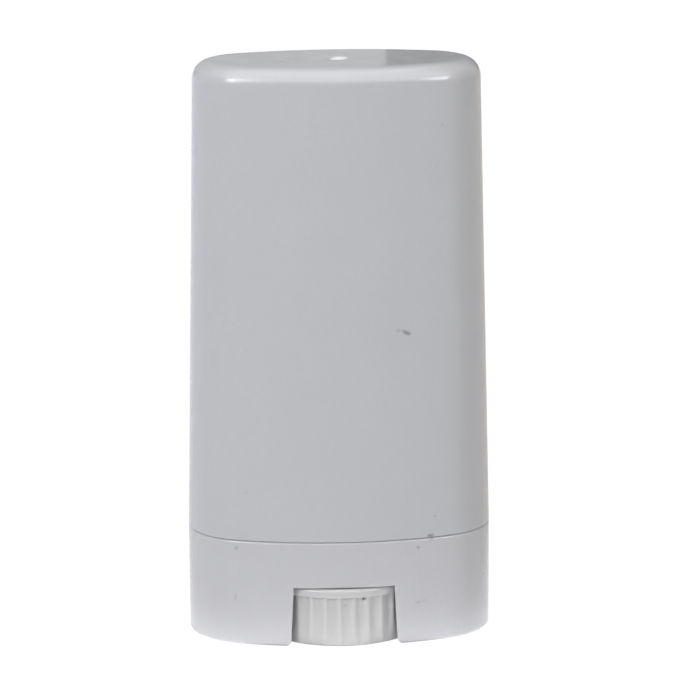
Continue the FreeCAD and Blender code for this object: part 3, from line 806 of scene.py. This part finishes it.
class STICK_OT_add_dial(bpy.types.Operator):
    """Model the dial: a fluted rim under a plain collar, a disc, a hub and spokes"""

    bl_idname = "stick.add_dial"
    bl_label = "Dial"
    bl_options = {"REGISTER", "UNDO"}

    def execute(self, context):
        sizes = context.scene.stick_dial
        collar_foot = sizes.top - sizes.collar
        dial = start_piece("dial")
        rim_top = sizes.foot + sizes.rim
        grip_foot = rim_top + sizes.run_out
        steps = self.draw_flutes(sizes, grip_foot)
        bpy.ops.mesh.select_all(action="SELECT")
        rise = (0, 0, collar_foot - grip_foot)
        bpy.ops.mesh.extrude_edges_move(TRANSFORM_OT_translate={"value": rise})
        rim = sizes.radius - sizes.ridge_drop / 2
        inside = sizes.radius - sizes.wall
        web = sizes.top - sizes.web
        lines = (
            [
                (rim, rim_top),
                (rim, sizes.foot, sizes.edge),
                (inside, sizes.foot, SMALL),
                (inside, web, SOFT),
                (sizes.hub_radius, web, SOFT),
                (sizes.hub_radius, sizes.hub_foot, SMALL),
                (sizes.hub_bore, sizes.hub_foot, SMALL),
                (sizes.hub_bore, web),
                (0.0, web),
            ],
            [
                (sizes.radius, collar_foot),
                (sizes.radius, sizes.collar_top, sizes.collar_edge),
                (inside + 0.1 * MM, sizes.collar_top, FINE),
                (inside, sizes.top),
                (sizes.thrust_radius, sizes.top, FINE),
                (sizes.thrust_radius, sizes.thrust_top, SMALL),
                (0.0, sizes.thrust_top),
            ],
        )
        for line in lines:
            start_point()
            draw(upright(rounded(line, steps=3)))
            spin(steps)
        merge_doubles()
        for heights in ((rim_top, grip_foot), (collar_foot,)):
            pick_open(*heights)
            bpy.ops.mesh.bridge_edge_loops()
        self.add_spokes(sizes, web)
        look = context.scene.stick_look
        marks = (
            # a dark speck and a faint smudge
            ((2.24, 5.6), (0.27, 0.22), 0.0, 4.0),
            ((0.1, 4.9), (0.4, 0.22), 0.0, 0.2),
        )
        # painted shade: the flute hollows in the round corner under the collar are darkened
        corner = (sizes.radius - sizes.flute_depth, collar_foot)
        plastic = moulded_plastic("dial plastic", look.dial_colour, look, marks, corner=corner)
        finish_piece(dial, plastic, "dial", "dial_screw")
        return {"FINISHED"}

    def draw_flutes(self, sizes, height):
        """The outline of the grip: one flute between two half ridges, copied all the way round.

        Returns how many points the outline has.
        """
        ridge = sizes.radius - sizes.ridge_drop
        centre = sizes.radius - sizes.flute_depth + sizes.flute_radius
        pitch = 2 * math.pi / sizes.flutes
        cosine = (ridge**2 + centre**2 - sizes.flute_radius**2) / (2 * ridge * centre)
        edge = math.acos(cosine)
        sweep = math.asin(ridge * math.sin(edge) / sizes.flute_radius)
        start = sizes.phase - math.pi / 2

        def at(reach, turn):
            return Vector((reach * math.cos(start + turn), reach * math.sin(start + turn), height))

        middle = at(centre, 0.0)
        line = [at(ridge, -pitch / 2)]
        parts = 8
        for part in range(parts + 1):
            turn = sweep * (1 - 2 * part / parts)
            line.append(middle - (at(1, turn) - at(0, 0)) * sizes.flute_radius)
        line.append(at(ridge, pitch / 2))
        draw(line)
        ends = [line[1], line[-2]]
        pick("VERT", lambda point, spots: any((spots[0] - end).length < SAME for end in ends))
        bpy.ops.mesh.bevel(offset=sizes.ridge_radius, segments=2, affect="VERTICES")
        bpy.ops.mesh.select_all(action="SELECT")
        spin(sizes.flutes, copies=True)
        merge_doubles()
        edit(False)
        points = len(bpy.context.object.data.vertices)
        edit(True)
        return points

    def add_spokes(self, sizes, web):
        """The spokes between the hub and the rim."""
        inner = (sizes.hub_radius + sizes.hub_bore) / 2
        outer = sizes.radius - sizes.wall / 2
        half = sizes.spoke_thickness / 2
        outline = (inner, -half), (outer, -half), (outer, half), (inner, half)
        rise = (0, 0, web + 2 * LAP - sizes.hub_foot)
        add_prism([Vector((x, y, sizes.hub_foot)) for x, y in outline], rise)
        bpy.ops.mesh.select_linked()
        spin(sizes.spokes, copies=True)


class STICK_OT_add_screw(bpy.types.Operator):
    """Model the screw: a journal, a snap barb, a core and its thread"""

    bl_idname = "stick.add_screw"
    bl_label = "Screw"
    bl_options = {"REGISTER", "UNDO"}

    def execute(self, context):
        sizes = context.scene.stick_screw
        root = context.scene.stick_dial.top - sizes.root
        barb = sizes.barb_foot + sizes.barb_land
        section = [
            (0.0, root),
            (sizes.journal_radius, root),
            (sizes.journal_radius, sizes.barb_foot, FINE),
            (sizes.barb_radius, sizes.barb_foot, sizes.barb_edge),
            (sizes.barb_radius, barb, SMALL),
            (sizes.core_radius, barb + sizes.barb_taper, FULL),
            (sizes.core_radius, sizes.top - sizes.tip_chamfer, SOFT),
            (sizes.core_radius - sizes.tip_chamfer, sizes.top, SOFT),
            (0.0, sizes.top),
        ]
        screw = start_piece("screw")
        draw(upright(rounded(section, steps=4)))
        spin(sizes.steps)
        merge_doubles()
        face_outwards()
        edit(False)
        thread = self.thread(sizes)
        select_only(screw, thread)
        bpy.ops.object.join()
        edit(True)
        look = context.scene.stick_look
        plastic = moulded_plastic("screw plastic", look.dial_colour, look)
        finish_piece(screw, plastic, "dial", "dial_screw")
        return {"FINISHED"}

    def thread(self, sizes):
        """The thread: its section carried up the core, with both ends closed."""
        root, crest = sizes.core_radius, sizes.core_radius + sizes.thread_rise
        half_root, half_crest = sizes.thread_root / 2, sizes.thread_crest / 2
        section = [
            (root - 2 * LAP, -half_root),
            (root, -half_root),
            (crest, -half_crest, sizes.thread_edge),
            (crest, half_crest, sizes.thread_edge),
            (root, half_root),
            (root - 2 * LAP, half_root),
        ]
        thread = start_piece("thread")
        points = rounded(section, steps=3)
        draw(upright((reach, sizes.thread_start + height) for reach, height in points))
        bpy.ops.mesh.edge_face_add()
        bpy.ops.mesh.delete(type="ONLY_FACE")
        edit(False)
        rise = sizes.top - sizes.thread_runout - sizes.thread_start
        select_only(thread)
        wind = thread.modifiers.new("Lead", "SCREW")
        wind.angle = 2 * math.pi * rise / sizes.lead
        wind.screw_offset = rise
        wind.steps = wind.render_steps = round(sizes.steps / 2 * rise / sizes.lead)
        bpy.ops.object.modifier_apply(modifier=wind.name)
        edit(True)
        bpy.ops.mesh.select_mode(type="EDGE")
        bpy.ops.mesh.select_all(action="DESELECT")
        bpy.ops.mesh.select_non_manifold(extend=False)
        bpy.ops.mesh.fill_holes(sides=0)
        face_outwards()
        edit(False)
        return thread


class STICK_OT_finish_elevator(bpy.types.Operator):
    """Give the elevator its plastic"""

    bl_idname = "stick.finish_elevator"
    bl_label = "Elevator"
    bl_options = {"REGISTER", "UNDO"}

    def execute(self, context):
        look = context.scene.stick_look
        plastic = moulded_plastic("elevator plastic", look.elevator_colour, look)
        for slot in frame["nodes"]["elevator"].material_slots:
            slot.material = plastic
        return {"FINISHED"}


class STICK_OT_set_stage(bpy.types.Operator):
    """Set the camera, the lamps, the white surround and the pale floor"""

    bl_idname = "stick.set_stage"
    bl_label = "Studio"
    bl_options = {"REGISTER", "UNDO"}

    def execute(self, context):
        studio = context.scene.stick_studio
        context.scene.view_settings.view_transform = "Standard"
        self.set_camera(context, studio)
        self.set_world(context, studio)
        self.add_floor(studio)
        white = (1.0, 1.0, 1.0)
        aim = Vector((0, 0, studio.aim))
        for name, azimuth, elevation, distance, size, power, tint in (
            ("Left lamp", -45, 30, 0.9, (0.26, 0.32), studio.left, white),
            ("Right lamp", 46, 23, 0.9, (0.27, 0.17), studio.right, white),
            ("Fill lamp", 70, 25, 1.0, (0.4, 0.7), studio.fill, (1.0, 0.97, 0.9)),
            ("Head lamp", 0, 88, 1.0, (0.8, 0.5), studio.head, white),
            ("Back lamp", 180, 13, 1.0, (1.4, 0.4), studio.back, white),
        ):
            place = aim + around(math.radians(azimuth), math.radians(elevation), distance)
            self.add_lamp(name, place, aim, size, power, tint)
        for name in ("Head lamp", "Right lamp"):  # a card stands in for each in the gloss
            bpy.data.objects[name].visible_glossy = False
        for name, place, size, turn, glow in (
            ("Roof card", (0.0, -0.64, 0.8), (1.8, 1.72), None, (3.3,) * 3),
            ("Glint card", (0.55, -0.55, 0.4), (0.15, 0.2), 45, (23.0,) * 3),
            ("Back card", (-0.1025, 0.025, 0.085), (0.2, 0.04), 0, (0.43, 0.43, 0.435)),
            ("Pale card", (0.0025, 0.025, 0.085), (0.01, 0.04), 0, (0.49, 0.49, 0.495)),
            ("Dark card", (0.1075, 0.025, 0.085), (0.2, 0.04), 0, (0.09,) * 3),
            ("Right card", (0.035, 0.0475, 0.07), (0.128, 0.14), 90, (0.78, 0.72, 0.64)),
            ("Left card", (-0.05, 0.072, 0.07), (0.157, 0.14), 90, (1.0, 1.05, 1.2)),
        ):
            self.add_card(name, place, size, turn, glow)
        self.add_pool(context.scene.stick_oval, studio)
        return {"FINISHED"}

    def set_camera(self, context, studio):
        """The camera, with a long lens and a slight turn about its own axis."""
        bpy.ops.object.camera_add()
        camera = context.object
        camera.name = "Camera"
        back = around(studio.azimuth, studio.elevation, studio.distance)
        camera.location = Vector((studio.side, 0, studio.aim)) + back
        turn = (-back).to_track_quat("-Z", "Y") @ Quaternion((0, 0, 1), studio.roll)
        camera.rotation_mode = "QUATERNION"
        camera.rotation_quaternion = turn
        camera.data.lens = studio.lens
        camera.data.clip_start = 10 * MM
        context.scene.camera = camera

    def set_world(self, context, studio):
        """Even light from all round, and plain white behind."""
        world = bpy.data.worlds.new("Surround")
        context.scene.world = world
        nodes = Nodes(world)
        rays = nodes.node("ShaderNodeLightPath").outputs
        seen = nodes.maths("MAXIMUM", rays["Is Camera Ray"], rays["Is Transmission Ray"])
        seen = nodes.maths("MAXIMUM", seen, rays["Is Glossy Ray"])
        strength = nodes.ramp(seen, 0.0, 1.0, studio.sky, kind="LINEAR")
        background = {"Color": (1, 1, 1, 1), "Strength": strength}
        nodes.feed(nodes.tree.nodes["Background"], background)

    def add_floor(self, studio):
        """A plain pale floor that keeps a soft shadow."""
        width, brightness, own_light = 6.0, 1.03, 0.95
        deselect()
        bpy.ops.mesh.primitive_plane_add(size=width, location=(0, 0, -0.05 * MM))
        floor = bpy.context.object
        floor.name = "Floor"
        paint = bpy.data.materials.new("floor paint")
        nodes = Nodes(paint)
        shader = nodes.tree.nodes["Principled BSDF"]
        grey = (*[studio.floor] * 3, 1)
        nodes.feed(shader, {"Base Color": grey, "Roughness": 0.9})
        glow = nodes.node("ShaderNodeEmission", {"Strength": brightness})
        rays = nodes.node("ShaderNodeLightPath").outputs
        seen = nodes.maths("MAXIMUM", rays["Is Camera Ray"], rays["Is Glossy Ray"])
        share = nodes.maths("MULTIPLY", seen, own_light)
        inputs = {0: share, 1: shader.outputs[0], 2: glow.outputs[0]}
        blend = nodes.node("ShaderNodeMixShader", inputs)
        nodes.feed(nodes.tree.nodes["Material Output"], {"Surface": blend.outputs[0]})
        floor.data.materials.append(paint)

    def add_card(self, name, place, size, turn, glow):
        """A card that shows only in gloss: upright, or flat where it has no turn."""
        deselect()
        stand = (0, 0, 0) if turn is None else (math.pi / 2, 0, math.radians(turn))
        bpy.ops.mesh.primitive_plane_add(size=1.0, location=place, rotation=stand)
        self.set_glow(name, size, glow, "glossy")

    def add_pool(self, oval, studio):
        """Bright floor round the foot, which lights the walls, and dimmer floor under it."""
        for name, reach, height, glow in (
            ("Pool card", studio.pool_reach, -0.03 * MM, studio.pool),
            ("Shade card", studio.shade_reach, -0.02 * MM, studio.shade),
        ):
            deselect()
            bpy.ops.mesh.primitive_circle_add(
                vertices=96, radius=1.0, fill_type="NGON", location=(0, 0, height)
            )
            size = (oval.width / 2 + reach, oval.depth / 2 + reach)
            self.set_glow(name, size, [glow] * 3, "diffuse")

    def set_glow(self, name, size, glow, seen_by):
        """Names and sizes the new card, and gives it light that only one kind of ray sees."""
        card = bpy.context.object
        card.name = name
        card.scale = (*size, 1.0)
        paint = bpy.data.materials.new(name.lower())
        nodes = Nodes(paint)
        inputs = {
            "Base Color": (0, 0, 0, 1),
            "Specular IOR Level": 0.0,
            "Emission Color": (*glow, 1),
            "Emission Strength": 1.0,
        }
        nodes.feed(nodes.tree.nodes["Principled BSDF"], inputs)
        card.data.materials.append(paint)
        for ray in ("camera", "diffuse", "glossy", "transmission", "volume_scatter", "shadow"):
            setattr(card, f"visible_{ray}", ray == seen_by)

    def add_lamp(self, name, place, aim, size, power, tint):
        """A rectangular lamp that faces the container."""
        bpy.ops.object.light_add(type="AREA", location=place)
        lamp = bpy.context.object
        lamp.name = name
        lamp.data.shape = "RECTANGLE"
        lamp.data.size, lamp.data.size_y = size
        lamp.data.energy = power
        lamp.data.color = tint
        lamp.rotation_euler = (aim - lamp.location).to_track_quat("-Z", "Y").to_euler()
        lamp.visible_camera = False


def around(azimuth, elevation, distance):
    """A place round the container: to the right from the front, and up."""
    level, height = distance * math.cos(elevation), distance * math.sin(elevation)
    return Vector((level * math.sin(azimuth), -level * math.cos(azimuth), height))


class STICK_PT_panel(bpy.types.Panel):
    """The container's pieces and sizes in the sidebar"""

    bl_label = "Oval Stick Container"
    bl_idname = "STICK_PT_panel"
    bl_space_type = "VIEW_3D"
    bl_region_type = "UI"
    bl_category = "Stick"

    def draw(self, context):
        layout = self.layout
        for kind in OPERATORS:
            layout.operator(kind.bl_idname)
        for name, kind in GROUPS.items():
            box = layout.box()
            box.label(text=name.removeprefix("stick_").capitalize())
            group = getattr(context.scene, name)
            for prop in kind.__annotations__:
                box.prop(group, prop)


GROUPS = {
    "stick_oval": OvalSizes,
    "stick_cap": CapSizes,
    "stick_barrel": BarrelSizes,
    "stick_dial": DialSizes,
    "stick_screw": ScrewSizes,
    "stick_look": PlasticLook,
    "stick_studio": StudioSettings,
}
OPERATORS = (
    STICK_OT_set_stage,
    STICK_OT_add_cap,
    STICK_OT_add_barrel,
    STICK_OT_add_dial,
    STICK_OT_add_screw,
    STICK_OT_finish_elevator,
)


def register():
    for name, kind in GROUPS.items():
        bpy.utils.register_class(kind)
        setattr(bpy.types.Scene, name, bpy.props.PointerProperty(type=kind))
    for kind in (*OPERATORS, STICK_PT_panel):
        bpy.utils.register_class(kind)


def unregister():
    for kind in (STICK_PT_panel, *reversed(OPERATORS)):
        bpy.utils.unregister_class(kind)
    for name, kind in reversed(GROUPS.items()):
        delattr(bpy.types.Scene, name)
        bpy.utils.unregister_class(kind)


def main():
    """Registers the add-on and builds the picture."""
    register()
    bpy.ops.stick.set_stage()
    bpy.ops.stick.add_cap()
    bpy.ops.stick.add_barrel()
    bpy.ops.stick.add_dial()
    bpy.ops.stick.add_screw()
    bpy.ops.stick.finish_elevator()


if __name__ == "__main__":
    main()
